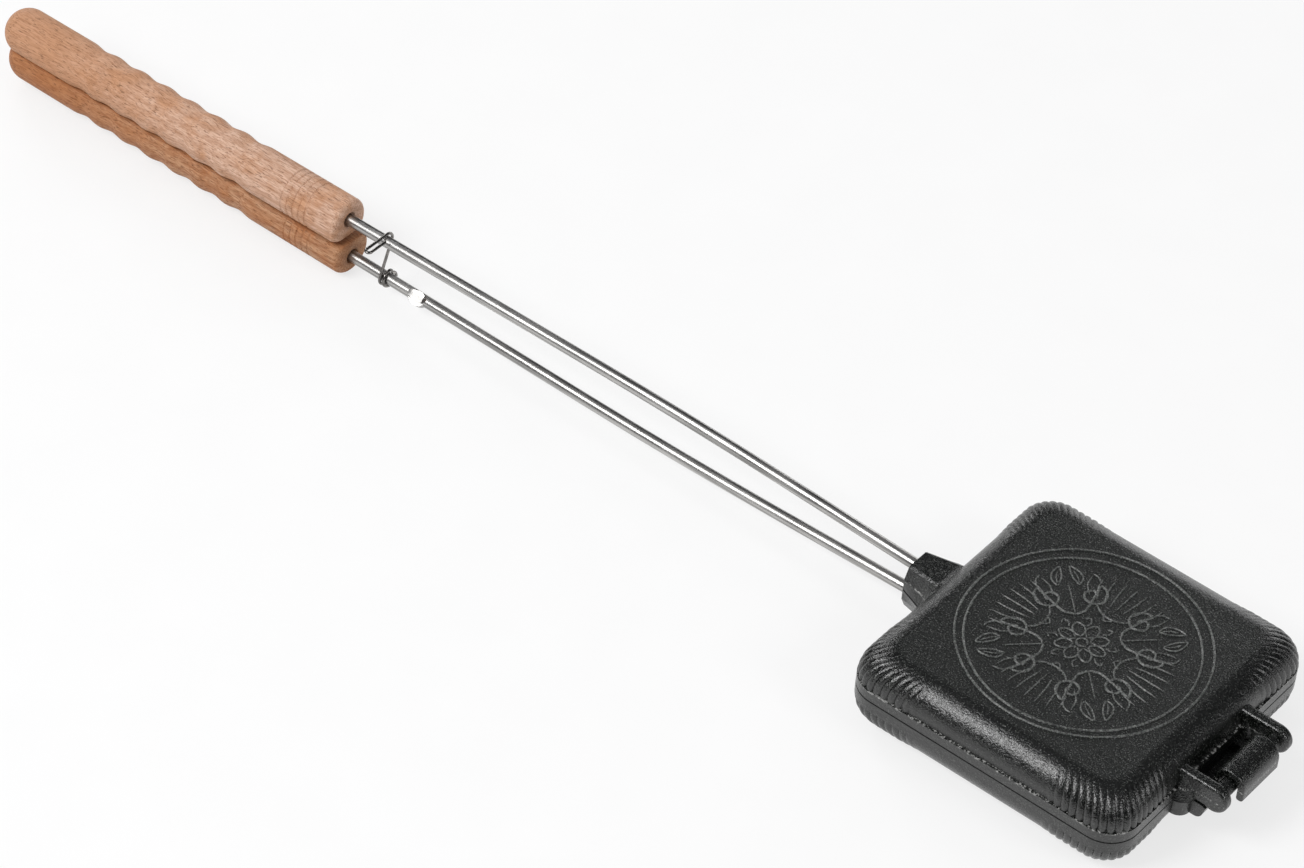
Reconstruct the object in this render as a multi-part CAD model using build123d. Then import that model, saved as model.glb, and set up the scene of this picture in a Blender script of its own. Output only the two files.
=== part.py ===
from build123d import *
import math
import os

# A square cast-iron jaffle iron, lying closed on the flat face of its lower half.
# Millimetres. +X runs from the grips to the hinge, +Z is up.
# The origin is the centre of the flat face that the lower half stands on.

# Head, measured at the rim where the halves meet
HEAD_LENGTH = 128.0
HEAD_WIDTH = 130.0
RIM_CORNER = 13.5
RIM_HEIGHT = 5.0
RIM_LEDGE = 1.0
HALF_HEIGHT = 18.0
SHOULDER_RADIUS = 12.0
CORNER_TIGHTENING = 0.25
PARTING_GAP = 0.3

# Cast ribs over each corner
RIB_PITCH = 3.4
CORNER_RIBS = 6
SIDE_RIBS = 6
RIB_BULGE = 0.75

# Cooking hollow of each half
RIM_LAND = 6.0
HOLLOW_CORNER = 10.0
HOLLOW_FILLET = 8.5
FACE_THICKNESS = 4.0

# Raised rings on the upper face
RING_TO_SHOULDER = 1.4
RING_SPACING = 4.0
RING_BEAD = 0.55
OUTER_RING_OFFSET = 1.0

# Boss that holds a rod, at the back of each half
BOSS_LENGTH = 13.5
BOSS_HALF_WIDTH = 8.3
BOSS_TOP_HALF_WIDTH = 5.6
BOSS_SIDE_HEIGHT = 5.0
BOSS_HEIGHT = 10.8
BOSS_RISE = 1.3
BOSS_FOOT_FLARE = 5.4
BOSS_SIDE_FLARE = 4.2
BOSS_TOP_FLARE = 1.9
BOSS_ROOT_DEPTH = 4.5
BOSS_ROOT_RISE = 1.5
BOSS_BEVEL = 0.8

# Hinge: a bar between two ears of the upper half, under a hook of the lower half
HINGE_REACH = 13.4
HINGE_HEIGHT = 5.4
BAR_RADIUS = 3.3
EAR_RADIUS = 6.0
EAR_INNER = 18.2
EAR_THICKNESS = 4.8
EAR_ROUNDING = 1.5
EAR_ROOT_DEPTH = 8.0
OUTER_FLARE = 5.0
INNER_FLARE = 3.0
FLARE_TAPER = 0.2
FLARE_DROP = 0.4
LUG_CLEARANCE = 0.6
LUG_DEPTH = 7.2
LUG_ROOT_DROP = 3.6
LUG_ROUNDING = 3.5
LUG_POCKET_DEPTH = 4.0
HOOK_HALF_WIDTH = 12.2
HOOK_THICKNESS = 3.1
HOOK_CLEARANCE = 0.4
HOOK_ROUNDING = 0.8

# Rods
ROD_DIAMETER = 5.0
ROD_FIT = 0.05
ROD_INSERTION = 17.2
ROD_HEIGHT_AT_BOSS = 7.1
ROD_SPREAD_SLOPE = 0.037
ROD_RETURN_SLOPE = 0.0115
ROD_BEND_LENGTH = 100.0
ROD_FREE_LENGTH = 294.0
ROD_IN_GRIP = 90.0
ROD_END_PLAY = 0.3

# Grips
GRIP_LENGTH = 194.0
GRIP_RADIUS = 10.5
GRIP_FLAT = 6.15
GRIP_BORE_OFFSET = 1.95
GRIP_GAP_FRONT = 2.5
GRIP_GAP_REAR = 0.5
LOWER_GRIP_ADVANCE = 2.0
GRIP_FRONT_ROUNDING = 2.6
GRIP_REAR_RADIUS = 10.2
GRIP_RING_START = 15.6
GRIP_RING_PITCH = 3.3
GRIP_RING_COUNT = 5
GRIP_RING_WIDTH = 1.0
GRIP_RING_DEPTH = 0.4
WAVE_START = 49.6
WAVE_PITCH = 14.67
WAVE_COUNT = 7
WAVE_DEPTH = 0.9
MOUTH_RADIUS = 3.4
MOUTH_DEPTH = 6.0

# Latch wire
WIRE_DIAMETER = 1.3
LATCH_SETBACK = 20.0
EYE_CLEARANCE = 0.3
EYE_PITCH = 2.0
EYE_END_ANGLE = 50.0
CATCH_CLEARANCE = 0.35
CATCH_OFFSET = 0.3
TAB_LENGTH = 12.3
TAB_RETURN = 8.6
TAB_BEND_RADIUS = 1.3

# Pinched stop on the lower rod
STOP_SETBACK = 39.0
STOP_LENGTH = 9.5
STOP_WIDTH = 6.2
STOP_THICKNESS = 3.4
STOP_WAIST = 2.8
STOP_TWIST = 49.0
STOP_SHIFT = 0.8

# Worked out from the sizes above
ROD_RADIUS = ROD_DIAMETER / 2
GRIP_AXIS_FRONT = GRIP_GAP_FRONT / 2 + GRIP_FLAT
ROD_HEIGHT_AT_GRIP = GRIP_AXIS_FRONT + GRIP_BORE_OFFSET
GRIP_TILT = math.degrees(math.atan2((GRIP_GAP_FRONT - GRIP_GAP_REAR) / 2, GRIP_LENGTH))
HALF_X = HEAD_LENGTH / 2
HALF_Y = HEAD_WIDTH / 2
BOSS_END_X = -HALF_X - BOSS_LENGTH
GRIP_FRONT_X = BOSS_END_X - ROD_FREE_LENGTH
GRIP_REAR_X = GRIP_FRONT_X - GRIP_LENGTH
HINGE_X = HALF_X + HINGE_REACH
EAR_TOP = HINGE_HEIGHT + EAR_RADIUS
EAR_OUTER = EAR_INNER + EAR_THICKNESS
HOOK_INNER = BAR_RADIUS + HOOK_CLEARANCE
HOOK_OUTER = HOOK_INNER + HOOK_THICKNESS
LATCH_X = GRIP_FRONT_X + LATCH_SETBACK
STOP_X = GRIP_FRONT_X + STOP_SETBACK
WIRE_RADIUS = WIRE_DIAMETER / 2
EYE_RADIUS = ROD_RADIUS + EYE_CLEARANCE + WIRE_RADIUS
CATCH_RADIUS = ROD_RADIUS + CATCH_CLEARANCE + WIRE_RADIUS


def corner_turns(half_x, half_y, radius):
    """Centre, start angle and running direction of each rounded corner, counter-clockwise."""
    turns = []
    for quarter, (sign_x, sign_y) in enumerate([(1, 1), (-1, 1), (-1, -1), (1, -1)]):
        centre = Vector(sign_x * (half_x - radius), sign_y * (half_y - radius), 0)
        turns.append((centre, 90.0 * quarter))
    return turns


def direction(angle):
    """Unit vector in the XY plane at an angle in degrees."""
    return Vector(math.cos(math.radians(angle)), math.sin(math.radians(angle)), 0)


def rib_stations(centre, start, radius, pitch):
    """Valley points of the ribs round one corner, each with its outward direction."""
    stations = []
    first_out = direction(start)
    last_out = direction(start + 90)
    for step in range(SIDE_RIBS, 0, -1):
        point = centre + first_out * radius - direction(start + 90) * (pitch * step)
        stations.append((point, first_out))
    for step in range(CORNER_RIBS + 1):
        out = direction(start + 90.0 * step / CORNER_RIBS)
        stations.append((centre + out * radius, out))
    for step in range(1, SIDE_RIBS + 1):
        point = centre + last_out * radius + direction(start + 180) * (pitch * step)
        stations.append((point, last_out))
    return stations


def rib_crest(first, second, centre, radius, bulge):
    """Crest point midway between two valleys, standing out by the bulge."""
    (start, start_out), (end, end_out) = first, second
    out = (start_out + end_out).normalized()
    if (start_out - end_out).length < 0.001:
        return (start + end) * 0.5 + out * bulge
    return centre + out * (radius + bulge)


def ribbed_outline(half_x, half_y, radius, pitch, bulge, height):
    """Closed outline of the ribbed wall at one height: ribs at the corners, straight between."""
    lift = Vector(0, 0, height)
    edges = []
    previous = None
    first = None
    for centre, start in corner_turns(half_x, half_y, radius):
        stations = rib_stations(centre, start, radius, pitch)
        if previous is not None:
            edges.append(Line(previous + lift, stations[0][0] + lift))
        else:
            first = stations[0][0]
        ribs = len(stations) - 1
        for index in range(ribs):
            fade = min(1.0, (index + 1) / 3, (ribs - index) / 3)
            crest = rib_crest(stations[index], stations[index + 1], centre, radius, bulge * fade)
            begin = stations[index][0] + lift
            end = stations[index + 1][0] + lift
            edges.append(ThreePointArc(begin, crest + lift, end))
        previous = stations[-1][0]
    edges.append(Line(previous + lift, first + lift))
    return make_face(Curve() + edges)


def shoulder_radius():
    """The shoulder's radius, kept within the wall above the rim and the rim's corner."""
    return min(SHOULDER_RADIUS, HALF_HEIGHT - RIM_HEIGHT - 0.5, HALF_Y / 2)


def pillow():
    """The domed body of one half above its parting plane, with ribs at its four corners."""
    wall_x = HALF_X - RIM_LEDGE
    wall_y = HALF_Y - RIM_LEDGE
    corner = RIM_CORNER - RIM_LEDGE
    round_over = shoulder_radius()
    spring = HALF_HEIGHT - round_over
    sections = [ribbed_outline(wall_x, wall_y, corner, RIB_PITCH, RIB_BULGE, RIM_HEIGHT - 1.0)]
    for angle in (0, 15, 30, 45, 60, 74, 84, 90):
        inset = round_over * (1 - math.cos(math.radians(angle)))
        height = spring + round_over * math.sin(math.radians(angle))
        radius = corner - CORNER_TIGHTENING * inset
        pitch = RIB_PITCH * radius / corner
        bulge = RIB_BULGE * (1 - (angle / 90) ** 3) + 0.03
        sections.append(ribbed_outline(wall_x - inset, wall_y - inset, radius, pitch, bulge, height))
    return loft(sections)


def rim(low):
    """The plain band round the meeting edge of one half."""
    band = extrude(RectangleRounded(HEAD_LENGTH, HEAD_WIDTH, RIM_CORNER), RIM_HEIGHT - low)
    return Pos(0, 0, low) * band


def hollow():
    """The cooking hollow of one half, open at the parting plane."""
    length = HEAD_LENGTH - 2 * RIM_LAND
    width = HEAD_WIDTH - 2 * RIM_LAND
    depth = HALF_HEIGHT - FACE_THICKNESS
    corner = HOLLOW_CORNER
    block = extrude(RectangleRounded(length, width, corner), depth)
    ceiling = block.faces().sort_by(Axis.Z)[-1]
    block = fillet(ceiling.edges(), min(HOLLOW_FILLET, corner - 0.5, depth - 0.5))
    skirt = Pos(0, 0, -1) * extrude(RectangleRounded(length, width, corner), 1.5)
    return block + skirt


def boss_outline(run):
    """Section of the boss at a run from its front face: six-sided, wider and taller to the root."""
    share = min(run / BOSS_LENGTH, 1.0)
    root = max((run - BOSS_LENGTH) / BOSS_ROOT_DEPTH, 0.0)
    foot = BOSS_HALF_WIDTH + BOSS_FOOT_FLARE * share
    side = BOSS_HALF_WIDTH + BOSS_SIDE_FLARE * (0.4 * share + 0.6 * share**6)
    top = BOSS_TOP_HALF_WIDTH + BOSS_TOP_FLARE * share
    height = BOSS_HEIGHT + BOSS_RISE * share + BOSS_ROOT_RISE * root**1.6
    slope = (height - BOSS_SIDE_HEIGHT) / (side - top)
    corner = (top + BOSS_BEVEL / slope, height - BOSS_BEVEL)
    half = [(foot, 0), (side, BOSS_SIDE_HEIGHT), corner, (top - BOSS_BEVEL, height)]
    points = half + [(-y, z) for y, z in reversed(half)]
    return Pos(BOSS_END_X + run, 0, 0) * (Plane.YZ * make_face(Polyline(points, close=True)))


def boss(low):
    """The boss at the back of one half, growing into the wall in a fair curve."""
    runs = [share * BOSS_LENGTH for share in (0, 0.35, 0.67, 0.82, 0.92, 1)]
    runs += [BOSS_LENGTH + share * BOSS_ROOT_DEPTH for share in (0.33, 0.67, 1)]
    body = loft([boss_outline(run) for run in runs], ruled=True)
    keep = Box(4 * BOSS_LENGTH, HEAD_WIDTH, HALF_HEIGHT, align=(Align.CENTER, Align.CENTER, Align.MIN))
    return body & Pos(-HALF_X, 0, low) * keep


def boss_run_height(x):
    """Height of the upper rod above the parting plane, on its straight run out of the boss."""
    return ROD_HEIGHT_AT_BOSS + ROD_SPREAD_SLOPE * (BOSS_END_X - x)


def grip_run_height(x):
    """Height of the upper rod above the parting plane, on its straight run into the grip."""
    return ROD_HEIGHT_AT_GRIP + ROD_RETURN_SLOPE * (x - GRIP_FRONT_X)


def rod_path():
    """Centre line of the upper rod: it spreads from the boss, bends gently and comes back."""
    slopes = ROD_SPREAD_SLOPE + ROD_RETURN_SLOPE
    rise = boss_run_height(0) - grip_run_height(0)
    corner_x = rise / slopes
    corner = Vector(corner_x, 0, boss_run_height(corner_x))
    inner_x = BOSS_END_X + ROD_INSERTION
    outer_x = GRIP_FRONT_X - ROD_IN_GRIP
    begin = Vector(inner_x, 0, boss_run_height(inner_x))
    end = Vector(outer_x, 0, grip_run_height(outer_x))
    outwards = (corner - begin).normalized()
    turn = corner - outwards * (ROD_BEND_LENGTH / 2)
    leave = corner + (end - corner).normalized() * (ROD_BEND_LENGTH / 2)
    first = Line(begin, turn)
    bend = TangentArc(turn, leave, tangent=outwards)
    last = Line(leave, end)
    return Wire([first, bend, last])


def rod():
    """The upper rod, bent, with its ends left square."""
    path = rod_path()
    section = Plane(origin=path @ 0, z_dir=path % 0) * Circle(ROD_RADIUS)
    return sweep(section, path=path)


def rod_bore():
    """The hole that the upper rod sits in, with its fit clearance."""
    inner_x = BOSS_END_X + ROD_INSERTION + ROD_END_PLAY
    outer_x = BOSS_END_X - 2
    start = Vector(inner_x, 0, boss_run_height(inner_x))
    end = Vector(outer_x, 0, boss_run_height(outer_x))
    axis = Plane(origin=start, z_dir=end - start)
    return extrude(axis * Circle(ROD_RADIUS + ROD_FIT), (end - start).length)


def face_rings():
    """Two raised rings on the flat of the upper face, half sunk into it."""
    flat = min(HALF_X, HALF_Y) - RIM_LEDGE - shoulder_radius()
    outer_radius = flat - RING_TO_SHOULDER
    inner = Torus(outer_radius - RING_SPACING, RING_BEAD)
    outer = Torus(outer_radius, RING_BEAD)
    return [Pos(0, 0, HALF_HEIGHT) * inner, Pos(0, OUTER_RING_OFFSET, HALF_HEIGHT) * outer]


def ear(side):
    """One hinge ear of the upper half: an arm with a round end about the hinge axis."""
    root_x = HALF_X - EAR_ROOT_DEPTH
    arm = Rectangle(HINGE_X - root_x, EAR_TOP - PARTING_GAP, align=(Align.MIN, Align.MIN))
    outline = Pos(root_x, PARTING_GAP) * arm + Pos(HINGE_X, HINGE_HEIGHT) * Circle(EAR_RADIUS)
    body = extrude(Plane.XZ * outline, -EAR_THICKNESS)
    body = Pos(0, EAR_INNER, 0) * body
    sides = body.faces().sort_by(Axis.Y)
    rounding = min(EAR_ROUNDING, EAR_THICKNESS / 2 - 0.5)
    body = fillet(sides[0].edges() + sides[-1].edges(), rounding)
    body = body + Pos(0, EAR_OUTER - EAR_ROUNDING, PARTING_GAP) * ear_flare(OUTER_FLARE + EAR_ROUNDING)
    inner = mirror(ear_flare(INNER_FLARE + EAR_ROUNDING), about=Plane.XZ)
    body = body + Pos(0, EAR_INNER + EAR_ROUNDING, PARTING_GAP) * inner
    if side < 0:
        return mirror(body, about=Plane.XZ)
    return body


def ear_flare(reach):
    """A flare beside an ear, which dies away towards the ear's top."""
    height = EAR_TOP - PARTING_GAP - FLARE_DROP
    return loft([flare_face(reach), Pos(0, 0, height) * flare_face(FLARE_TAPER * reach)], ruled=True)


def flare_face(reach):
    """A fair curve in plan that leads the head's front wall into an ear or lug beside it."""
    wall = HALF_X
    return make_face(
        Line((wall - 2, -1), (wall + reach, -1))
        + Line((wall + reach, -1), (wall + reach, 0))
        + RadiusArc((wall + reach, 0), (wall, reach), -reach)
        + Line((wall, reach), (wall - 2, reach))
        + Line((wall - 2, reach), (wall - 2, -1))
    )


def hinge_bar():
    """The cross bar cast between the ears."""
    bar = Cylinder(BAR_RADIUS, 2 * EAR_INNER + 2)
    return Pos(HINGE_X, 0, HINGE_HEIGHT) * Rot(90, 0, 0) * bar


def lug():
    """The block of the lower half below the ears, cut back clear of the ears' round ends."""
    swing = EAR_RADIUS + LUG_CLEARANCE
    tip_x = HINGE_X - math.sqrt(swing * swing - HINGE_HEIGHT * HINGE_HEIGHT)
    root_x = HALF_X - EAR_ROOT_DEPTH + 2
    points = [(root_x, 0), (tip_x + 2, 0), (tip_x, -LUG_DEPTH), (HALF_X, -LUG_DEPTH)]
    points += [(root_x, -LUG_DEPTH - LUG_ROOT_DROP)]
    outline = make_face(Polyline(points, close=True))
    foot = outline.vertices().filter_by(lambda v: abs(v.X - tip_x) < 0.01)
    outline = fillet(foot, LUG_ROUNDING)
    body = extrude(Plane.XZ * outline, EAR_OUTER, both=True)
    swept = Pos(HINGE_X, 0, HINGE_HEIGHT) * Rot(90, 0, 0) * Cylinder(swing, 2 * EAR_OUTER + 2)
    body = body - swept
    pocket_length = HINGE_X - HOOK_OUTER - HALF_X
    pocket = Box(pocket_length, 2 * HOOK_HALF_WIDTH, LUG_POCKET_DEPTH, align=(Align.MIN, Align.CENTER, Align.MAX))
    body = body - Pos(HALF_X, 0, 0) * pocket
    flare = Pos(0, EAR_OUTER, -LUG_DEPTH) * extrude(flare_face(OUTER_FLARE), LUG_DEPTH)
    return body + flare + mirror(flare, about=Plane.XZ)


def hook():
    """The hook of the lower half: up from the lug, over the bar and down outside it."""
    left_out = HINGE_X - HOOK_OUTER
    left_in = HINGE_X - HOOK_INNER
    right_in = HINGE_X + HOOK_INNER
    right_out = HINGE_X + HOOK_OUTER
    top_out = HINGE_HEIGHT + HOOK_OUTER
    top_in = HINGE_HEIGHT + HOOK_INNER
    foot = -LUG_DEPTH / 2
    tip = 0.2
    outline = make_face(
        Line((left_out, foot), (left_out, HINGE_HEIGHT))
        + ThreePointArc((left_out, HINGE_HEIGHT), (HINGE_X, top_out), (right_out, HINGE_HEIGHT))
        + Line((right_out, HINGE_HEIGHT), (right_out, tip))
        + Line((right_out, tip), (right_in, tip))
        + Line((right_in, tip), (right_in, HINGE_HEIGHT))
        + ThreePointArc((right_in, HINGE_HEIGHT), (HINGE_X, top_in), (left_in, HINGE_HEIGHT))
        + Line((left_in, HINGE_HEIGHT), (left_in, foot))
        + Line((left_in, foot), (left_out, foot))
    )
    tips = outline.vertices().filter_by(lambda v: abs(v.Y - tip) < 0.01)
    outline = fillet(tips, 0.35 * HOOK_THICKNESS)
    body = extrude(Plane.XZ * outline, HOOK_HALF_WIDTH, both=True)
    edges = body.faces().sort_by(Axis.Y)[0].edges() + body.faces().sort_by(Axis.Y)[-1].edges()
    return fillet(edges, HOOK_ROUNDING)


def half_shell(low):
    """What both halves share, built upwards from the parting plane."""
    body = pillow() + rim(low) + boss(low)
    body = body - hollow()
    return body - rod_bore()


def upper_shell():
    """The upper casting, with its ears and bar."""
    body = half_shell(PARTING_GAP)
    body = body + [ear(1), ear(-1), hinge_bar()]
    body = body - hollow()
    body = body + face_rings()
    return Pos(0, 0, HALF_HEIGHT) * body


def lower_shell():
    """The lower casting, with its lug and hook."""
    body = mirror(half_shell(0), about=Plane.XY)
    body = body + [lug(), hook()]
    body = body - mirror(hollow(), about=Plane.XY)
    return Pos(0, 0, HALF_HEIGHT) * body


def stop_lens():
    """The pinched place: the rod squeezed out on both sides into a thin lens."""
    half = STOP_LENGTH / 2
    wide = STOP_WIDTH / 2
    outline = make_face(
        ThreePointArc((-half, 0), (0, wide), (half, 0)) + ThreePointArc((half, 0), (0, -wide), (-half, 0))
    )
    return extrude(Plane.XZ * outline, STOP_THICKNESS / 2, both=True)


def stop_dents():
    """The two flats that the pinch leaves on the rod's sides."""
    depth = ROD_RADIUS - STOP_WAIST / 2
    radius = (STOP_LENGTH * STOP_LENGTH / 4 + depth * depth) / (2 * depth)
    jaw = Cylinder(radius, 3 * ROD_DIAMETER)
    offset = STOP_WAIST / 2 + radius
    return [Pos(0, offset, 0) * jaw, Pos(0, -offset, 0) * jaw]


def lower_rod():
    """The lower rod, with the stop that keeps the latch near the grips."""
    body = Pos(0, 0, HALF_HEIGHT) * mirror(rod(), about=Plane.XY)
    place = Pos(STOP_X, 0, HALF_HEIGHT - grip_run_height(STOP_X)) * Rot(-STOP_TWIST, 0, 0)
    body = body - [place * dent for dent in stop_dents()]
    return body + place * Pos(0, 0, -STOP_SHIFT) * stop_lens()


def grip_outline():
    """Half outline of the turned grip, from its front face at X = 0 back to its round rear end."""
    rear = -GRIP_LENGTH
    rounding = GRIP_FRONT_ROUNDING
    radius = GRIP_RADIUS
    points = [Line((0, 0), (0, radius - rounding))]
    points.append(RadiusArc((0, radius - rounding), (-rounding, radius), -rounding))
    at = -rounding
    for ring in range(GRIP_RING_COUNT):
        begin = -GRIP_RING_START - ring * GRIP_RING_PITCH
        middle = begin - GRIP_RING_WIDTH / 2
        end = begin - GRIP_RING_WIDTH
        points.append(Line((at, radius), (begin, radius)))
        points.append(Line((begin, radius), (middle, radius - GRIP_RING_DEPTH)))
        points.append(Line((middle, radius - GRIP_RING_DEPTH), (end, radius)))
        at = end
    points += wave_outline(at, -WAVE_START, radius)
    at = -WAVE_START - WAVE_COUNT * WAVE_PITCH
    nose = min(GRIP_REAR_RADIUS, radius)
    points.append(Line((at, radius), (rear + nose, radius)))
    points.append(RadiusArc((rear + nose, radius), (rear, radius - nose), -nose))
    if radius - nose > 0.01:
        points.append(Line((rear, radius - nose), (rear, 0)))
    points.append(Line((rear, 0), (0, 0)))
    return make_face(Curve() + points)


def wave_outline(begin, start, radius):
    """The plain run up to the waves, then hollow and crest arcs in turn, each tangent to the next."""
    quarter = WAVE_PITCH / 4
    deep = radius - WAVE_DEPTH
    middle = radius - WAVE_DEPTH / 2
    lines = [Line((begin, radius), (start, radius))]
    for wave in range(WAVE_COUNT):
        x = start - wave * WAVE_PITCH
        lines.append(quarter_crest((x, radius), (x - quarter, middle), (-1, 0)))
        lines.append(ThreePointArc((x - quarter, middle), (x - 2 * quarter, deep), (x - 3 * quarter, middle)))
        lines.append(quarter_crest((x - 4 * quarter, radius), (x - 3 * quarter, middle), (1, 0)))
    return lines


def quarter_crest(top, side, tangent):
    """Quarter of a wave, from the top of a crest down to the middle of its flank."""
    return TangentArc(top, side, tangent=tangent)


def grip_bore(radius, front_x, end_x):
    """A hole along the rod's straight run, from just before the grip's front face to end_x."""
    front_x = front_x + 2
    start = Vector(front_x, 0, grip_run_height(front_x))
    end = Vector(end_x, 0, grip_run_height(end_x))
    axis = Plane(origin=start, z_dir=end - start)
    return extrude(axis * Circle(radius), (end - start).length)


def grip(advance):
    """The upper grip: turned round, flat on its lower side, bored for the rod."""
    front_x = GRIP_FRONT_X + advance
    turned = revolve(Plane.XZ * grip_outline(), axis=Axis.X)
    below = Box(3 * GRIP_LENGTH, 4 * GRIP_RADIUS, 2 * GRIP_RADIUS, align=(Align.CENTER, Align.CENTER, Align.MAX))
    turned = turned - Pos(0, 0, -GRIP_FLAT) * below
    turned = Pos(front_x, 0, GRIP_AXIS_FRONT) * Rot(0, -GRIP_TILT, 0) * turned
    turned = turned - grip_bore(ROD_RADIUS + ROD_FIT, front_x, GRIP_FRONT_X - ROD_IN_GRIP - ROD_END_PLAY)
    return turned - grip_bore(MOUTH_RADIUS, front_x, front_x - MOUTH_DEPTH)


def wire_point(x, y, z):
    """A point of the latch, counted from the lower rod's axis where the stem leaves the eye."""
    return Vector(LATCH_X + x, y, HALF_HEIGHT - grip_run_height(LATCH_X) + z)


def half_turn(x, sign_y, under):
    """Half a turn of the eye in a leaning plane, so that the turns lie side by side."""
    radius = EYE_RADIUS
    height = -radius if under else radius
    begin = wire_point(x, sign_y * radius, 0)
    end = wire_point(x + EYE_PITCH / 2, -sign_y * radius, 0)
    return ThreePointArc(begin, wire_point(x + EYE_PITCH / 4, 0, height), end)


def latch_path():
    """Centre line of the latch wire: folded tab, catch, stem, eye and curled end."""
    catch_y = CATCH_OFFSET
    catch_z = 2 * grip_run_height(LATCH_X)
    top = catch_z + CATCH_RADIUS
    apart = math.hypot(catch_y, catch_z)
    lean = math.asin((EYE_RADIUS + CATCH_RADIUS) / apart) + math.atan2(catch_y, catch_z)
    cos_lean = math.cos(lean)
    sin_lean = math.sin(lean)
    fold = 2 * TAB_BEND_RADIUS
    catch_half = (math.pi / 2 + lean) / 2 - lean
    return_end = wire_point(fold, TAB_RETURN - TAB_LENGTH, top)
    return_start = wire_point(fold, -TAB_LENGTH, top)
    fold_middle = wire_point(TAB_BEND_RADIUS, -TAB_LENGTH - TAB_BEND_RADIUS, top)
    tab_start = wire_point(0, -TAB_LENGTH, top)
    catch_start = wire_point(0, catch_y, top)
    catch_middle = wire_point(
        0, catch_y + CATCH_RADIUS * math.cos(catch_half), catch_z + CATCH_RADIUS * math.sin(catch_half)
    )
    catch_end = wire_point(0, catch_y + CATCH_RADIUS * cos_lean, catch_z - CATCH_RADIUS * sin_lean)
    stem_end = wire_point(0, -EYE_RADIUS * cos_lean, EYE_RADIUS * sin_lean)
    near_middle = wire_point(0, -EYE_RADIUS * math.cos(lean / 2), EYE_RADIUS * math.sin(lean / 2))
    near = wire_point(0, -EYE_RADIUS, 0)
    end_angle = math.radians(EYE_END_ANGLE)
    end_x = 1.5 * EYE_PITCH
    curl = [
        wire_point(end_x, EYE_RADIUS * math.cos(angle), EYE_RADIUS * math.sin(angle))
        for angle in (0, end_angle / 2, end_angle)
    ]
    return [
        Line(return_end, return_start),
        ThreePointArc(return_start, fold_middle, tab_start),
        Line(tab_start, catch_start),
        ThreePointArc(catch_start, catch_middle, catch_end),
        Line(catch_end, stem_end),
        ThreePointArc(stem_end, near_middle, near),
        half_turn(0, -1, True),
        half_turn(EYE_PITCH / 2, 1, False),
        half_turn(EYE_PITCH, -1, True),
        ThreePointArc(*curl),
    ]


def latch():
    """The latch: one unbroken wire."""
    path = Wire(latch_path())
    section = Plane(origin=path @ 0, z_dir=path % 0) * Circle(WIRE_RADIUS)
    return sweep(section, path=path)


def wire_gap():
    """The least gap between stretches of the latch wire that aren't neighbours along it."""
    pieces = latch_path()
    steps = 24
    samples = []
    run = 0.0
    for piece in pieces:
        for step in range(steps):
            samples.append((run + piece.length * step / steps, piece @ (step / steps)))
        run += piece.length
    least = 1000.0
    apart = math.pi * EYE_RADIUS
    for index, (place, point) in enumerate(samples):
        for other_place, other in samples[index + 1:]:
            if other_place - place > apart:
                least = min(least, (point - other).length)
    return least - WIRE_DIAMETER


def main():
    os.makedirs("parts", exist_ok=True)
    upper_rod = Pos(0, 0, HALF_HEIGHT) * rod()
    upper_grip = Pos(0, 0, HALF_HEIGHT) * grip(0)
    lower_grip = Pos(0, 0, HALF_HEIGHT) * mirror(grip(LOWER_GRIP_ADVANCE), about=Plane.XY)
    nodes = {
        "upper_shell": upper_shell(),
        "lower_shell": lower_shell(),
        "upper_rod": upper_rod,
        "lower_rod": lower_rod(),
        "upper_grip": upper_grip,
        "lower_grip": lower_grip,
        "latch": latch(),
    }
    for name, shape in nodes.items():
        export_step(shape, f"parts/{name}.step")
    print(f"least gap of the latch wire to itself: {wire_gap():.2f} mm")


main()
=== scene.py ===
import bpy
import math
from mathutils import Matrix, Vector


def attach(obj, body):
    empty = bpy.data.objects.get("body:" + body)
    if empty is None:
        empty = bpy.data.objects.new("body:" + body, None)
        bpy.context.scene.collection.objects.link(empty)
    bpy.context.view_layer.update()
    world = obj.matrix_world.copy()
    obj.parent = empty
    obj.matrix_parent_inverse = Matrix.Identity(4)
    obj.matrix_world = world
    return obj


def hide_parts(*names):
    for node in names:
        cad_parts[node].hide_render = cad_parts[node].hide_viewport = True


# Looks of a cast-iron jaffle iron with bright rods, beech grips and a wire latch.
# The frame is the model's: +X towards the hinge, +Z up, the head over the origin.
# Blender works in metres. The shapes that are made here are written in millimetres.

MM = 0.001
FACE_TOP = 36.0
MIDDLE_HEIGHT = 18.0
WHITE = (1.0, 1.0, 1.0)

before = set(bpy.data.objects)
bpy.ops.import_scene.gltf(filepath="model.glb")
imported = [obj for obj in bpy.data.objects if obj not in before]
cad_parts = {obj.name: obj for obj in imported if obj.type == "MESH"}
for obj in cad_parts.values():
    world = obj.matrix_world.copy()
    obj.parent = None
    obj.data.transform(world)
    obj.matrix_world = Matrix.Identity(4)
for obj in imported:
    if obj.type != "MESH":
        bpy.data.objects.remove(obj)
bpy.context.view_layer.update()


# Camera, fitted to the outlines of the object in the photograph

AZIMUTH = math.radians(35.773)
ELEVATION = math.radians(43.257)
ROLL = math.radians(4.89)
AIM = Vector((-0.2040, -0.0074, 0.018))
DISTANCE = 1.9555
SHIFT_RIGHT = 0.00027
SHIFT_UP = 0.00055
LENS = 135.45
SENSOR_WIDTH = 36.0


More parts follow.
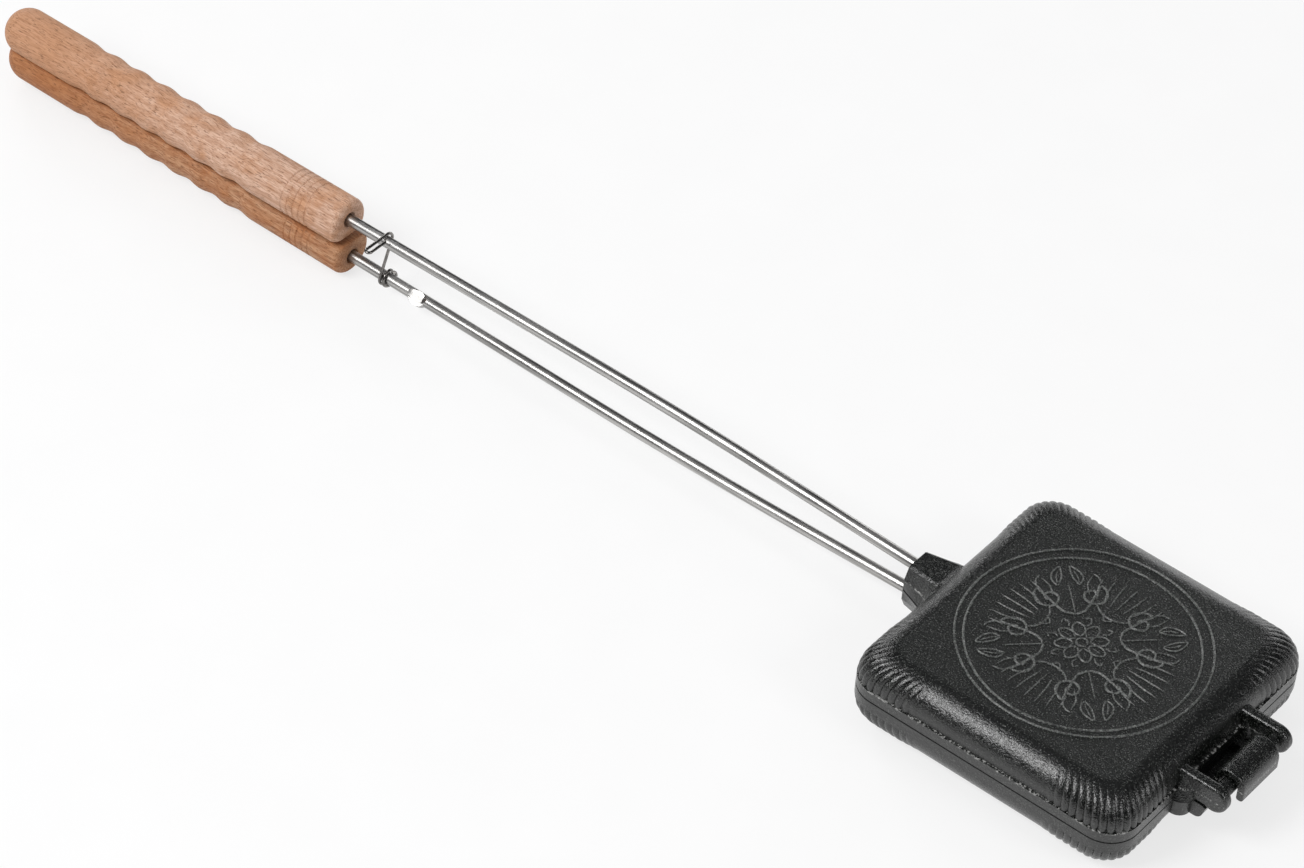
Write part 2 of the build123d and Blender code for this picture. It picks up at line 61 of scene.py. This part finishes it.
def set_camera():
    """A long lens on the hinge side, looking down over the head and along the rods."""
    flat = math.cos(ELEVATION)
    back = Vector((math.sin(AZIMUTH) * flat, -math.cos(AZIMUTH) * flat, math.sin(ELEVATION)))
    level = Vector((math.cos(AZIMUTH), math.sin(AZIMUTH), 0))
    rise = back.cross(level)
    right = level * math.cos(ROLL) + rise * math.sin(ROLL)
    up = rise * math.cos(ROLL) - level * math.sin(ROLL)
    place = AIM + back * DISTANCE + right * SHIFT_RIGHT + up * SHIFT_UP
    data = bpy.data.cameras.new("camera")
    data.sensor_width = SENSOR_WIDTH
    data.lens = LENS
    data.clip_start = 0.05
    data.clip_end = 60.0
    camera = bpy.data.objects.new("camera", data)
    columns = Matrix((right, up, back)).transposed().to_4x4()
    camera.matrix_world = Matrix.Translation(place) @ columns
    bpy.context.scene.collection.objects.link(camera)
    bpy.context.scene.camera = camera


# Node trees

class Tree:
    """The nodes of a material or a world, with short ways to add and join them."""

    def __init__(self, owner):
        owner.use_nodes = True
        self.owner = owner
        self.nodes = owner.node_tree.nodes
        self.links = owner.node_tree.links

    def add(self, kind, **values):
        """A new node with the given properties."""
        node = self.nodes.new(kind)
        for key, value in values.items():
            setattr(node, key, value)
        return node

    def feed(self, socket, value):
        """Gives a socket a number or a colour, or joins another node's output to it."""
        if isinstance(value, (int, float)):
            socket.default_value = value
        elif isinstance(value, tuple):
            socket.default_value = (value[0], value[1], value[2], 1.0)
        else:
            self.links.new(value, socket)

    def shade(self, name, value):
        """Feeds a socket of the material's shader."""
        self.feed(self.nodes["Principled BSDF"].inputs[name], value)

    def coords(self, scale, offset=(0, 0, 0), turn=(0, 0, 0)):
        """Object coordinates, scaled in features per metre."""
        source = self.add("ShaderNodeTexCoord")
        mapping = self.add("ShaderNodeMapping")
        mapping.inputs["Location"].default_value = offset
        mapping.inputs["Rotation"].default_value = turn
        mapping.inputs["Scale"].default_value = scale
        self.feed(mapping.inputs["Vector"], source.outputs["Object"])
        return mapping.outputs["Vector"]

    def axes(self, vector):
        """The three parts of a vector, by the names X, Y and Z."""
        node = self.add("ShaderNodeSeparateXYZ")
        self.feed(node.inputs[0], vector)
        return node.outputs

    def noise(self, vector, scale=1.0, detail=3.0, roughness=0.5, distortion=0.0):
        """Cloudy noise between 0 and 1, mostly near a half."""
        node = self.add("ShaderNodeTexNoise")
        node.inputs["Scale"].default_value = scale
        node.inputs["Detail"].default_value = detail
        node.inputs["Roughness"].default_value = roughness
        node.inputs["Distortion"].default_value = distortion
        self.feed(node.inputs["Vector"], vector)
        return node.outputs["Fac"]

    def ramp(self, value, stops):
        """A colour ramp. Each stop is a place from 0 to 1 and a colour, or a grey as one number."""
        node = self.add("ShaderNodeValToRGB")
        elements = node.color_ramp.elements
        while len(elements) < len(stops):
            elements.new(0.5)
        for element, (place, colour) in zip(elements, stops):
            if isinstance(colour, (int, float)):
                colour = (colour, colour, colour)
            element.position = place
            element.color = (colour[0], colour[1], colour[2], 1.0)
        self.feed(node.inputs["Fac"], value)
        return node.outputs["Color"]

    def mix(self, factor, first, second, blend="MIX"):
        """The first colour where the factor is 0 and the second where it is 1."""
        node = self.add("ShaderNodeMix", data_type="RGBA", blend_type=blend)
        self.feed(node.inputs[0], factor)
        self.feed(node.inputs[6], first)
        self.feed(node.inputs[7], second)
        return node.outputs[2]

    def math(self, operation, first, second=0.0):
        """One step of arithmetic."""
        node = self.add("ShaderNodeMath", operation=operation)
        self.feed(node.inputs[0], first)
        self.feed(node.inputs[1], second)
        return node.outputs[0]

    def bump(self, height, distance, strength=1.0, below=None):
        """A bumpy normal, on top of another one if that is given."""
        node = self.add("ShaderNodeBump")
        node.inputs["Distance"].default_value = distance
        node.inputs["Strength"].default_value = strength
        self.feed(node.inputs["Height"], height)
        if below is not None:
            self.feed(node.inputs["Normal"], below)
        return node.outputs["Normal"]


# Cast iron. Heights and reaches are in millimetres, and a stretch of height is its lowest
# place, its highest one and the distance over which it fades. Noises are per metre.

IRON_PITS = (0.001, 0.0013, 0.001)
IRON_GROUND = (0.003, 0.004, 0.0032)
IRON_GRAINS = (0.06, 0.064, 0.058)
# Lighter iron on the raised lines: worn metal together with a painted highlight.
RUBBED_AND_HIGHLIT_IRON = (0.2, 0.21, 0.2)
# Bright specks on the ledge: painted glints.
GLINT_SPECKS = (0.36, 0.36, 0.35)
# Nearly black on the line between the halves: painted shade of the gap.
GAP_SHADE = (0.0005, 0.0005, 0.0005)
RAISED_FOOT = 36.1
RAISED_CROWN = 36.35
RAISED_WEAR_AND_HIGHLIGHT = 0.62
LEDGE_HEIGHTS = (22.85, 23.05, 0.4)
PARTING_HEIGHTS = (17.8, 18.5, 0.2)
OUTSIDE_REACH = 59.0
IRON_SHINE = 0.85
RAMP_SPAN = 100.0


def measured(length):
    """A length in millimetres as the share of the ramps' span, since a ramp goes from 0 to 1."""
    return length / RAMP_SPAN


def between(t, height, low, high, soft):
    """One where the height lies between low and high, falling to nothing over soft on both sides."""
    rise = t.ramp(height, [(measured(low - soft), 0.0), (measured(low), 1.0)])
    fall = t.ramp(height, [(measured(high), 1.0), (measured(high + soft), 0.0)])
    return t.math("MULTIPLY", rise, fall)


def raised_wear_and_highlight(t, height, sand):
    """Share of worn metal and painted highlight on the face's rings and ornament, which stand above its
    flat.
    """
    grainy = t.ramp(sand, [(0.42, 0.3), (0.58, 1.0)])
    crown = t.ramp(height, [(measured(RAISED_FOOT), 0.0), (measured(RAISED_CROWN), RAISED_WEAR_AND_HIGHLIGHT)])
    return t.math("MULTIPLY", crown, grainy)


def ledge_glints(t, at, place):
    """Painted glints: bright specks on the ledge above the rim band, but not in the hollow, at the same
    height.
    """
    specks = t.ramp(t.noise(at, 700, 2, 0.7), [(0.52, 0.0), (0.6, 1.0)])
    along = t.math("ABSOLUTE", place["X"])
    across = t.math("ABSOLUTE", place["Y"])
    outside = t.math("GREATER_THAN", t.math("MAXIMUM", along, across), measured(OUTSIDE_REACH))
    ledge = between(t, place["Z"], *LEDGE_HEIGHTS)
    return t.math("MULTIPLY", ledge, t.math("MULTIPLY", specks, outside))


def painted_gap_shade(t, height):
    """Painted shade: a dark line between the halves, on upright surfaces only."""
    normal = t.add("ShaderNodeTexCoord").outputs["Normal"]
    upright = t.math("LESS_THAN", t.math("ABSOLUTE", t.axes(normal)["Z"]), 0.5)
    return t.math("MULTIPLY", between(t, height, *PARTING_HEIGHTS), upright)


def cast_iron(name):
    """Black iron with the grain of the sand mould, oiled; raised lines are worn and carry a painted
    highlight, the rim's ledge has painted glints, and the line between the halves has painted shade.
    """
    t = Tree(bpy.data.materials.new(name))
    at = t.coords((1, 1, 1))
    per_span = 1 / (RAMP_SPAN * MM)
    place = t.axes(t.coords((per_span, per_span, per_span)))
    sand = t.noise(at, 1500, 2, 0.6)
    lumps = t.noise(at, 480, 2, 0.5)
    swell = t.noise(at, 60, 2, 0.5)
    patches = t.noise(at, 28, 3, 0.6)
    tone = t.ramp(sand, [(0.42, IRON_PITS), (0.57, IRON_GROUND), (0.7, IRON_GRAINS)])
    worn = t.ramp(patches, [(0.35, 0.75), (0.7, 1.25)])
    colour = t.mix(1.0, tone, worn, "MULTIPLY")
    # Worn metal and painted highlight on the raised lines.
    rubbed_and_highlit = t.mix(raised_wear_and_highlight(t, place["Z"], sand), colour, RUBBED_AND_HIGHLIT_IRON)
    # Painted glints on the ledge.
    glinted = t.mix(ledge_glints(t, at, place), rubbed_and_highlit, GLINT_SPECKS)
    # Painted shade on the line between the halves, which is also made fully rough.
    gap_shade_mask = painted_gap_shade(t, place["Z"])
    t.shade("Base Color", t.mix(gap_shade_mask, glinted, GAP_SHADE))
    gloss = t.ramp(t.mix(0.5, lumps, sand), [(0.3, 0.17), (0.7, 0.3)])
    t.shade("Roughness", t.mix(gap_shade_mask, gloss, WHITE))
    coarse = t.bump(swell, 0.0006, 0.5)
    middle = t.bump(lumps, 0.00018, 0.6, coarse)
    t.shade("Normal", t.bump(sand, 0.00022, 1.0, middle))
    t.shade("Metallic", 0.0)
    t.shade("Specular IOR Level", IRON_SHINE)
    return t.owner


# Bright steel. Streaks are counted per metre along each axis; on the rods they run lengthwise and are
# painted reflections of the dark surround.

ROD_STEEL = {"streaks": (8, 800, 800), "roughness": (0.27, 0.42), "tint": (0.56, 0.55, 0.535)}
WIRE_STEEL = {"streaks": (300, 300, 300), "roughness": (0.18, 0.3), "tint": (0.32, 0.305, 0.29)}
DARK_REFLECTION_AND_HAZE_SHARE = 0.45


def bright_steel(name, streaks, roughness, tint):
    """Plated drawn steel: darker and lighter streaks, which on the rods are painted reflections, and a
    faint haze.
    """
    t = Tree(bpy.data.materials.new(name))
    lines = t.noise(t.coords(streaks), 1.0, 1, 0.5)
    haze = t.noise(t.coords((60, 60, 60)), 1.0, 2, 0.5)
    dark = tuple(DARK_REFLECTION_AND_HAZE_SHARE * part for part in tint)
    # On the rods these lengthwise streaks are painted reflections of the dark surround.
    reflection_streaks = t.ramp(lines, [(0.38, dark), (0.58, tint)])
    hazed = t.ramp(haze, [(0.35, dark), (0.65, tint)])
    t.shade("Base Color", t.mix(0.3, reflection_streaks, hazed))
    smooth, rough = roughness
    t.shade("Roughness", t.ramp(t.mix(0.5, lines, haze), [(0.3, smooth), (0.7, rough)]))
    t.shade("Normal", t.bump(lines, 0.00002, 0.2))
    t.shade("Metallic", 1.0)
    return t.owner


# Beech. The offset gives each grip its own piece of wood.

PALE_BEECH = {
    "pale": (0.64, 0.425, 0.315),
    "ruddy": (0.54, 0.275, 0.145),
    "deep": (0.34, 0.155, 0.075),
    "offset": 0.0,
}
# The lower grip's beech is darker and more orange: partly a deeper wood colour, partly painted shade.
SHADED_WARM_BEECH = {
    "pale": (0.5, 0.28, 0.155),
    "ruddy": (0.43, 0.175, 0.065),
    "deep": (0.24, 0.08, 0.028),
    "offset": 9.0,
}
REAR_START = 0.45
REAR_FULL = 0.53
REAR_SHADE = 0.94
FLECK_SHADE = 0.55


def growth_layers(t, offset):
    """Soft bands of growth, lying flat along the grip."""
    node = t.add("ShaderNodeTexWave", wave_type="BANDS", bands_direction="Z")
    node.inputs["Scale"].default_value = 1.0
    node.inputs["Distortion"].default_value = 6.0
    node.inputs["Detail"].default_value = 2.0
    node.inputs["Detail Scale"].default_value = 0.5
    t.feed(node.inputs["Vector"], t.coords((14, 75, 75), (offset, 3.1, 1.7), (0.5, 0.012, 0.02)))
    return node.outputs["Fac"]


def beech(name, pale, ruddy, deep, offset):
    """Bare turned beech: soft growth bands, short dark flecks along the grip, and a ruddy rear end."""
    t = Tree(bpy.data.materials.new(name))
    layers = growth_layers(t, offset)
    flecks = t.noise(t.coords((330, 2100, 2100), (offset, 0, 0), (0.0, 0.05, 0.03)), 1.0, 2, 0.5, 0.2)
    strands = t.noise(t.coords((150, 1700, 1700), (offset, 2, 5), (0.0, 0.02, -0.02)), 1.0, 3, 0.65, 0.5)
    clouds = t.noise(t.coords((62, 70, 70), (offset, 1, 1)), 1.0, 3, 0.6, 0.4)
    ground = t.mix(t.ramp(clouds, [(0.44, 0.0), (0.62, 0.85)]), pale, ruddy)
    layered = t.mix(t.ramp(layers, [(0.3, 0.0), (0.95, 0.32)]), ground, deep)
    # The grip grows darker and ruddier towards its rear end.
    behind = t.math("MULTIPLY", t.axes(t.coords((1, 1, 1)))["X"], -1.0)
    rear = t.ramp(behind, [(REAR_START, 0.0), (REAR_FULL, 0.85)])
    darker_rear = t.mix(rear, layered, tuple(REAR_SHADE * part for part in ruddy))
    strand = t.mix(t.ramp(strands, [(0.42, 0.0), (0.66, 0.75)]), darker_rear, deep)
    brown = tuple(FLECK_SHADE * part for part in deep)
    t.shade("Base Color", t.mix(t.ramp(flecks, [(0.58, 0.0), (0.68, 0.8)]), strand, brown))
    t.shade("Roughness", t.ramp(strands, [(0.3, 0.5), (0.7, 0.72)]))
    grain = t.bump(strands, 0.0003, 0.5)
    t.shade("Normal", t.bump(flecks, 0.0002, 0.4, grain))
    t.shade("Specular IOR Level", 0.3)
    return t.owner


# Meshes

def make_object(name, vertices, faces, material):
    """A smooth-shaded object in the scene."""
    mesh = bpy.data.meshes.new(name)
    mesh.from_pydata(vertices, [], faces)
    mesh.validate()
    mesh.update()
    for polygon in mesh.polygons:
        polygon.use_smooth = True
    mesh.materials.append(material)
    piece = bpy.data.objects.new(name, mesh)
    bpy.context.scene.collection.objects.link(piece)
    return piece


# Grips. Lengths along a grip count from its front face, which looks at the head, and the
# bore's profile goes from its bottom to its mouth by such lengths and radii.

GRIP_LENGTH = 194.0
GRIP_RADIUS = 10.5
GRIP_FLAT = 6.15
GRIP_FRONT = -371.5
GRIP_AXIS = 7.4
GRIP_TILT = math.atan2(1.0, 194.0)
LOWER_ADVANCE = 2.0
FRONT_ROUNDING = 2.6
REAR_NOSE = 10.2
TURNED_START = 3.2
RING_COUNT = 5
RING_START = 16.1
RING_PITCH = 3.3
RING_DEPTH = 0.42
RING_HALF_WIDTH = 0.5
RINGED_STRETCH = (15.2, 30.2)
WAVE_COUNT = 7
WAVE_START = 49.6
WAVE_PITCH = 14.67
WAVE_HALF_DEPTH = 0.45
FINE_STEP = 0.2
COARSE_STEP = 0.7
FLAT_EDGE_BLEND = 1.1
BORE_OFFSET = 1.95
BORE_SLOPE = 0.0064
BORE_PROFILE = [(90.5, 2.56), (6.0, 2.56), (5.9, 3.4), (0.25, 3.4), (0.0, 3.6)]
GRIP_SIDES = 144


def turned_radius(along):
    """Radius of the turned grip between its rounded ends, with its rings and finger waves."""
    radius = GRIP_RADIUS
    for ring in range(RING_COUNT):
        away = abs(along - RING_START - RING_PITCH * ring) / RING_HALF_WIDTH
        radius -= RING_DEPTH * max(0.0, 1 - away ** 1.5)
    wave = (along - WAVE_START) / WAVE_PITCH
    if 0 < wave < WAVE_COUNT:
        radius -= WAVE_HALF_DEPTH * (1 - math.cos(2 * math.pi * wave))
    return radius


def grip_profile():
    """Stations along the grip, each with its turned radius, from the front face to the rear."""
    stations = []
    for degrees in range(90, -1, -15):
        angle = math.radians(degrees)
        reach = FRONT_ROUNDING * (1 - math.sin(angle))
        stations.append((reach, GRIP_RADIUS - FRONT_ROUNDING * (1 - math.cos(angle))))
    along = TURNED_START
    while along < GRIP_LENGTH - REAR_NOSE:
        stations.append((along, turned_radius(along)))
        ringed = RINGED_STRETCH[0] < along < RINGED_STRETCH[1]
        along += FINE_STEP if ringed else COARSE_STEP
    for degrees in range(0, 91, 5):
        angle = math.radians(degrees)
        reach = GRIP_LENGTH - REAR_NOSE + REAR_NOSE * math.sin(angle)
        stations.append((reach, GRIP_RADIUS - REAR_NOSE + REAR_NOSE * math.cos(angle)))
    return stations


def flat_sided(radius, angle):
    """Distance from the turning axis to the surface, with the flat below and soft edges."""
    down = -math.sin(angle)
    if down < 0.05:
        return radius
    flat = GRIP_FLAT / down
    soften = max(FLAT_EDGE_BLEND - abs(radius - flat), 0.0) / FLAT_EDGE_BLEND
    return min(radius, flat) - soften * soften * FLAT_EDGE_BLEND / 4


def grip_rings():
    """Rings of (x, y, z) points round the turning axis: the bore from its bottom out, then the outside."""
    angles = [2 * math.pi * step / GRIP_SIDES for step in range(GRIP_SIDES)]
    rings = []
    for along, radius in BORE_PROFILE:
        centre = BORE_OFFSET - BORE_SLOPE * along
        rings.append([(-along, radius * math.cos(a), centre + radius * math.sin(a)) for a in angles])
    for along, radius in grip_profile():
        reaches = [(flat_sided(radius, a), a) for a in angles]
        rings.append([(-along, reach * math.cos(a), reach * math.sin(a)) for reach, a in reaches])
    return rings


def grip_mesh(name, advance, upside, material):
    """A grip as one closed skin, with the hole that the rod goes into; upside is 1 or -1."""
    rings = grip_rings()
    vertices = []
    for x, y, z in (point for ring in rings for point in ring):
        tilted_x = x * math.cos(GRIP_TILT) - z * math.sin(GRIP_TILT)
        tilted_z = x * math.sin(GRIP_TILT) + z * math.cos(GRIP_TILT)
        height = MIDDLE_HEIGHT + upside * (GRIP_AXIS + tilted_z)
        vertices.append(((GRIP_FRONT + advance + tilted_x) * MM, y * MM, height * MM))
    faces = []
    for row in range(len(rings) - 1):
        this = row * GRIP_SIDES
        following = this + GRIP_SIDES
        for step in range(GRIP_SIDES):
            after = (step + 1) % GRIP_SIDES
            corners = [this + step, this + after, following + after, following + step]
            faces.append(corners if upside < 0 else corners[::-1])
    bottom = list(range(GRIP_SIDES))
    rear = [(len(rings) - 1) * GRIP_SIDES + step for step in range(GRIP_SIDES)]
    faces.append(bottom if upside > 0 else bottom[::-1])
    faces.append(rear[::-1] if upside > 0 else rear)
    return make_object(name, vertices, faces, material)


# Raised ornament on the upper face: the width and height of each kind of ridge

ROSE_RIDGE = (0.95, 0.4562)
RIB_RIDGE = (0.75, 0.383)
TIP_RIDGE = (0.83, 0.4196)
EYE_RIDGE = (0.99, 0.4562)
SCROLL_RIDGE = (1.23, 0.5294)
LEAF_RIDGE = (0.91, 0.444)
VEIN_RIDGE = (0.75, 0.3708)
SPRIG_RIDGE = (0.91, 0.4318)
STALK_RIDGE = (0.83, 0.4074)
RAY_RIDGE = (0.87, 0.4318)
ORNAMENT_X = -0.5
RIDGE_HALF = [(0.2, 0.88), (0.42, 0.45), (0.5, -0.12)]
RIDGE_SECTION = [(-across, up) for across, up in reversed(RIDGE_HALF)] + [(0.0, 1.0)] + RIDGE_HALF


def relief_strip(points, width, height):
    """Vertices and faces of a low rounded ridge along a line of (x, y) points, thin at both ends."""
    last = len(points) - 1
    vertices = []
    for index, (x, y) in enumerate(points):
        before = points[max(index - 1, 0)]
        after = points[min(index + 1, last)]
        run = math.hypot(after[0] - before[0], after[1] - before[1]) or 1.0
        side = (-(after[1] - before[1]) / run, (after[0] - before[0]) / run)
        fade = min(1.0, 0.25 + min(index, last - index) / 4)
        for across, up in RIDGE_SECTION:
            reach = across * width * fade
            lift = up * height * fade if up > 0 else up * height
            place = (x + side[0] * reach, y + side[1] * reach, FACE_TOP + lift)
            vertices.append(tuple(part * MM for part in place))
    faces = []
    wide = len(RIDGE_SECTION)
    for row in range(last):
        for step in range(row * wide, row * wide + wide - 1):
            faces.append((step, step + wide, step + wide + 1, step + 1))
    return vertices, faces


def arc_points(radius, start, end, count):
    """Points on an arc round the origin, in degrees."""
    points = []
    for step in range(count + 1):
        angle = math.radians(start + (end - start) * step / count)
        points.append((radius * math.cos(angle), radius * math.sin(angle)))
    return points


def spiral_points(x, y, inner, outer, start, turns):
    """Points on a scroll that opens outwards."""
    count = 40
    points = []
    for step in range(count + 1):
        share = step / count
        angle = math.radians(start + 360 * turns * share)
        radius = inner + (outer - inner) * share ** 1.3
        points.append((x + radius * math.cos(angle), y + radius * math.sin(angle)))
    return points


def smooth_points(points, count=8):
    """Points on a smooth line through the given ones."""
    out = []
    for index in range(len(points) - 1):
        p0 = points[max(index - 1, 0)]
        p1 = points[index]
        p2 = points[index + 1]
        p3 = points[min(index + 2, len(points) - 1)]
        for step in range(count):
            share = step / count
            place = []
            for axis in range(2):
                a = 2 * p1[axis]
                b = (p2[axis] - p0[axis]) * share
                c = (2 * p0[axis] - 5 * p1[axis] + 4 * p2[axis] - p3[axis]) * share ** 2
                d = (3 * p1[axis] - p0[axis] - 3 * p2[axis] + p3[axis]) * share ** 3
                place.append(0.5 * (a + b + c + d))
            out.append(tuple(place))
    out.append(points[-1])
    return out


def turned(points, degrees, flip=False):
    """The points turned about the origin, mirrored first if asked."""
    cosine = math.cos(math.radians(degrees))
    sine = math.sin(math.radians(degrees))
    sign = -1 if flip else 1
    return [(x * cosine - sign * y * sine, x * sine + sign * y * cosine) for x, y in points]


def rosette():
    """Eight petals, each with its rib and the tip of a leaf behind it, round an eye."""
    lines = []
    for petal in range(8):
        base = 45 * petal
        outline = [(3.2, 0), (5.6, 2.3), (8.6, 2.1), (10.6, 0), (8.6, -2.1), (5.6, -2.3), (3.2, 0)]
        rib = [(4.6, 0), (6.0, 0.1), (7.4, 0.0), (8.6, 0)]
        tip = [(8.4, 3.6), (10.8, 3.3), (12.6, 4.9), (10.8, 6.2)]
        lines.append((turned(smooth_points(outline), base), ROSE_RIDGE))
        lines.append((turned(rib, base), RIB_RIDGE))
        lines.append((turned(smooth_points(tip), base), TIP_RIDGE))
    lines.append((arc_points(2.2, 0, 350, 24), EYE_RIDGE))
    return lines


def scroll_corner(base):
    """A pair of scrolls with leaves and sprigs on either side of a stalk."""
    scroll = spiral_points(24.5, 8.6, 1.0, 6.4, 200, -1.45)
    tail = [scroll[-1], (18.0, 5.4), (15.8, 2.4), (15.0, 0.2)]
    leaf = [(30.5, 4.2), (33.6, 6.2), (37.4, 5.4), (40.6, 2.2), (37.0, 1.9), (33.6, 2.6), (30.5, 4.2)]
    vein = [(31.6, 4.2), (34.8, 4.2), (38.6, 3.0)]
    sprig = [(30.2, 12.6), (33.8, 12.4), (36.4, 10.4)]
    stalk = [(14.4, 0), (22.0, 0.0), (31.0, 0.0)]
    lines = []
    for flip in (False, True):
        lines.append((turned(scroll + smooth_points(tail)[1:], base, flip), SCROLL_RIDGE))
        lines.append((turned(smooth_points(leaf), base, flip), LEAF_RIDGE))
        lines.append((turned(smooth_points(vein), base, flip), VEIN_RIDGE))
        lines.append((turned(smooth_points(sprig), base, flip), SPRIG_RIDGE))
    lines.append((turned(smooth_points(stalk), base), STALK_RIDGE))
    return lines


def ray_fan(base):
    """Nine rays that spread towards the rings from a shell with a cup."""
    shell = [(21.0, -8.0), (18.2, -4.4), (17.2, 0), (18.2, 4.4), (21.0, 8.0)]
    cup = [(18.6, -2.6), (16.4, -1.6), (15.2, 0), (16.4, 1.6), (18.6, 2.6)]
    lines = []
    for blade in range(-4, 5):
        end = 38.5 - 0.5 * abs(blade)
        start = 21.5 + 1.1 * abs(blade)
        ray = [(start, 0.0), ((start + end) / 2, 0.35 * blade), (end, 0.0)]
        lines.append((turned(smooth_points(ray, 6), base + 7.2 * blade), RAY_RIDGE))
    lines.append((turned(smooth_points(shell), base), EYE_RIDGE))
    lines.append((turned(smooth_points(cup), base), STALK_RIDGE))
    return lines


def ornament_lines():
    """Lines of the ornament, each with its ridge: rosette, scrolls round it and fans between them."""
    lines = rosette()
    for quarter in range(4):
        lines += scroll_corner(90 * quarter + 45)
    for quarter in range(4):
        lines += ray_fan(90 * quarter)
    return lines


def ornament(material):
    """All raised lines of the ornament as one piece."""
    vertices = []
    faces = []
    for points, (width, height) in ornament_lines():
        shifted = [(x + ORNAMENT_X, y) for x, y in points]
        more, quads = relief_strip(shifted, width, height)
        first = len(vertices)
        vertices += more
        faces += [tuple(first + corner for corner in quad) for quad in quads]
    return make_object("face_ornament", vertices, faces, material)


# Stage. Lamps have a place and an aim in metres, a side in metres and a power in watts.

FLOOR_HALF = 6.0
FLOOR_DROP = 0.0002
FLOOR_GLOW_SHARE = 0.72
SURROUND = (0.41, 0.41, 0.415)
REFLECTED = [
    (0.0, (0.02, 0.02, 0.022)),
    (0.5, (0.06, 0.06, 0.065)),
    (0.72, (0.06, 0.06, 0.063)),
    (0.95, (0.2, 0.2, 0.21)),
]
LAMPS = {
    "key": ((-0.8, -1.3, 1.6), (-0.1, 0, 0.02), 0.9, 31.0),
    "fill": ((1.5, 0.1, 1.1), (-0.05, 0, 0.02), 0.6, 8.0),
    "rim": ((-1.7, 0.75, 0.75), (-0.12, 0, 0.02), 0.6, 7.0),
    "back": ((-0.5, 1.9, 0.45), (-0.05, 0, 0.02), 0.8, 5.0),
}


def pale_floor(name):
    """A nearly white floor, which glows a little where the camera or a reflection sees it."""
    t = Tree(bpy.data.materials.new(name))
    grain = t.noise(t.coords((30, 30, 30)), 1.0, 3, 0.5)
    t.shade("Base Color", t.ramp(grain, [(0.3, 0.80), (0.7, 0.83)]))
    t.shade("Roughness", 0.9)
    glow = t.add("ShaderNodeEmission")
    t.feed(glow.inputs["Color"], WHITE)
    t.feed(glow.inputs["Strength"], 1.0)
    path = t.add("ShaderNodeLightPath")
    seen = t.math("MAXIMUM", path.outputs["Is Camera Ray"], path.outputs["Is Glossy Ray"])
    blend = t.add("ShaderNodeMixShader")
    t.feed(blend.inputs[0], t.math("MULTIPLY", seen, FLOOR_GLOW_SHARE))
    t.feed(blend.inputs[1], t.nodes["Principled BSDF"].outputs[0])
    t.feed(blend.inputs[2], glow.outputs[0])
    t.feed(t.nodes["Material Output"].inputs["Surface"], blend.outputs[0])
    return t.owner


def set_floor():
    """A large square floor just under the iron."""
    mesh = bpy.data.meshes.new("floor")
    corners = [(-1, -1), (1, -1), (1, 1), (-1, 1)]
    mesh.from_pydata([(FLOOR_HALF * x, FLOOR_HALF * y, 0) for x, y in corners], [], [(0, 1, 2, 3)])
    floor = bpy.data.objects.new("floor", mesh)
    floor.location = (0, 0, -FLOOR_DROP)
    bpy.context.scene.collection.objects.link(floor)
    mesh.materials.append(pale_floor("floor_pale"))


def set_world():
    """White to the camera, dim with a brighter top in reflections, and an even grey to all else."""
    world = bpy.data.worlds.new("studio")
    bpy.context.scene.world = world
    t = Tree(world)
    background = t.nodes["Background"]
    t.feed(background.inputs["Strength"], 1.0)
    direction = t.add("ShaderNodeTexCoord").outputs["Generated"]
    reflected = t.ramp(t.axes(direction)["Z"], REFLECTED)
    path = t.add("ShaderNodeLightPath")
    unseen = t.mix(path.outputs["Is Glossy Ray"], SURROUND, reflected)
    t.feed(background.inputs["Color"], t.mix(path.outputs["Is Camera Ray"], unseen, WHITE))


def set_lamp(name, place, aim, side, power):
    """A square lamp that looks at its aim."""
    data = bpy.data.lights.new(name, "AREA")
    data.shape = "SQUARE"
    data.size = side
    data.energy = power
    light = bpy.data.objects.new(name, data)
    light.location = place
    way = Vector(aim) - Vector(place)
    light.rotation_euler = way.to_track_quat("-Z", "Y").to_euler()
    bpy.context.scene.collection.objects.link(light)


def set_stage():
    """Floor, surround and four lamps: a large key, a fill, and two low ones behind for the edges."""
    set_floor()
    set_world()
    for name, (place, aim, side, power) in LAMPS.items():
        set_lamp(name, place, aim, side, power)
    bpy.context.scene.view_settings.view_transform = "Standard"


# The scene

def dress(node, material):
    """Gives a node of the frame its material."""
    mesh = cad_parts[node].data
    mesh.materials.clear()
    mesh.materials.append(material)


set_camera()
set_stage()

iron = cast_iron("cast_iron")
dress("upper_shell", iron)
dress("lower_shell", iron)
rod_steel = bright_steel("rod_steel", **ROD_STEEL)
dress("upper_rod", rod_steel)
dress("lower_rod", rod_steel)
dress("latch", bright_steel("wire_steel", **WIRE_STEEL))

pale_beech = beech("beech_pale", **PALE_BEECH)
shaded_warm_beech = beech("beech_warm", **SHADED_WARM_BEECH)
upper = grip_mesh("upper_grip_turned", 0.0, 1, pale_beech)
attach(upper, "upper_half")
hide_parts("upper_grip")
# Darker, more orange beech: partly its own colour, partly painted shade.
lower = grip_mesh("lower_grip_turned", LOWER_ADVANCE, -1, shaded_warm_beech)
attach(lower, "lower_half")
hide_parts("lower_grip")

relief = ornament(iron)
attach(relief, "upper_half")
